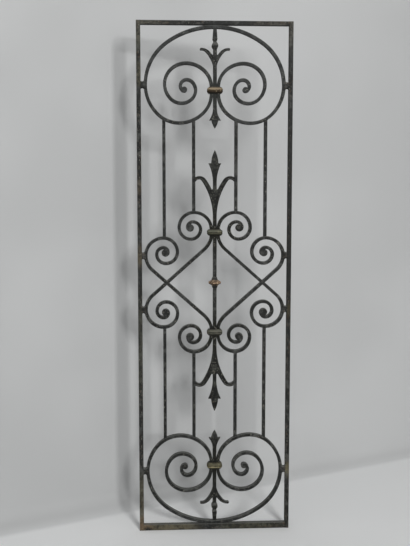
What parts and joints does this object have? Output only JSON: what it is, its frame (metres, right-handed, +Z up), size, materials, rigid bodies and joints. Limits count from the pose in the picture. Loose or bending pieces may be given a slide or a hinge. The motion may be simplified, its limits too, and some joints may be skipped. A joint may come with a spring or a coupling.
{
  "type": "wrought iron grille",
  "caption": "Tall flat iron grille: plain frame, volutes at both ends, crossed S-scrolls round a centre bar with a knop, leafed spears and moulded collars.",
  "frame": {"origin": "middle of the bottom edge of the frame, halfway through the depth", "axes": "+Z up along the height, +X to the right across the width seen from the front, +Y from the front to the back"},
  "size_m": [0.48, 0.038, 1.6],
  "materials": {
    "frame_iron": "old dull paint with worn and rusty patches",
    "scroll_iron": "old dull paint over hammered bar",
    "upright_iron": "old dull paint",
    "forged_iron": "old dull paint, worn grey on the ridges",
    "centre_iron": "old dull paint",
    "stud_iron": "old dull paint, brown below",
    "knop_copper": "worn copper-brown paint",
    "collar_gold": "worn gold-brown paint",
    "collar_olive": "worn olive-grey paint",
    "collar_grey": "worn olive-grey paint",
    "collar_bronze": "worn olive-gold paint"
  },
  "bodies": {
    "root": {"centre_bar": "centre_iron", "centre_knop": "knop_copper", "frame_bottom_rail": "frame_iron", "frame_left_stile": "frame_iron", "frame_right_stile": "frame_iron", "frame_top_rail": "frame_iron", "lower_finial": "forged_iron", "lower_leafed_spear": "forged_iron", "lower_left_inner_upright": "upright_iron", "lower_left_outer_upright": "upright_iron", "lower_left_scroll": "scroll_iron", "lower_left_scroll_stud": "stud_iron", "lower_left_volute_stud": "stud_iron", "lower_middle_collar": "collar_grey", "lower_right_inner_upright": "upright_iron", "lower_right_outer_upright": "upright_iron", "lower_right_scroll": "scroll_iron", "lower_right_scroll_stud": "stud_iron", "lower_right_volute_stud": "stud_iron", "lower_volute": "scroll_iron", "lower_volute_collar": "collar_bronze", "upper_finial": "forged_iron", "upper_leafed_spear": "forged_iron", "upper_left_inner_upright": "upright_iron", "upper_left_outer_upright": "upright_iron", "upper_left_scroll": "scroll_iron", "upper_left_scroll_stud": "stud_iron", "upper_left_volute_stud": "stud_iron", "upper_middle_collar": "collar_olive", "upper_right_inner_upright": "upright_iron", "upper_right_outer_upright": "upright_iron", "upper_right_scroll": "scroll_iron", "upper_right_scroll_stud": "stud_iron", "upper_right_volute_stud": "stud_iron", "upper_volute": "scroll_iron", "upper_volute_collar": "collar_gold"}
  },
  "joints": []
}
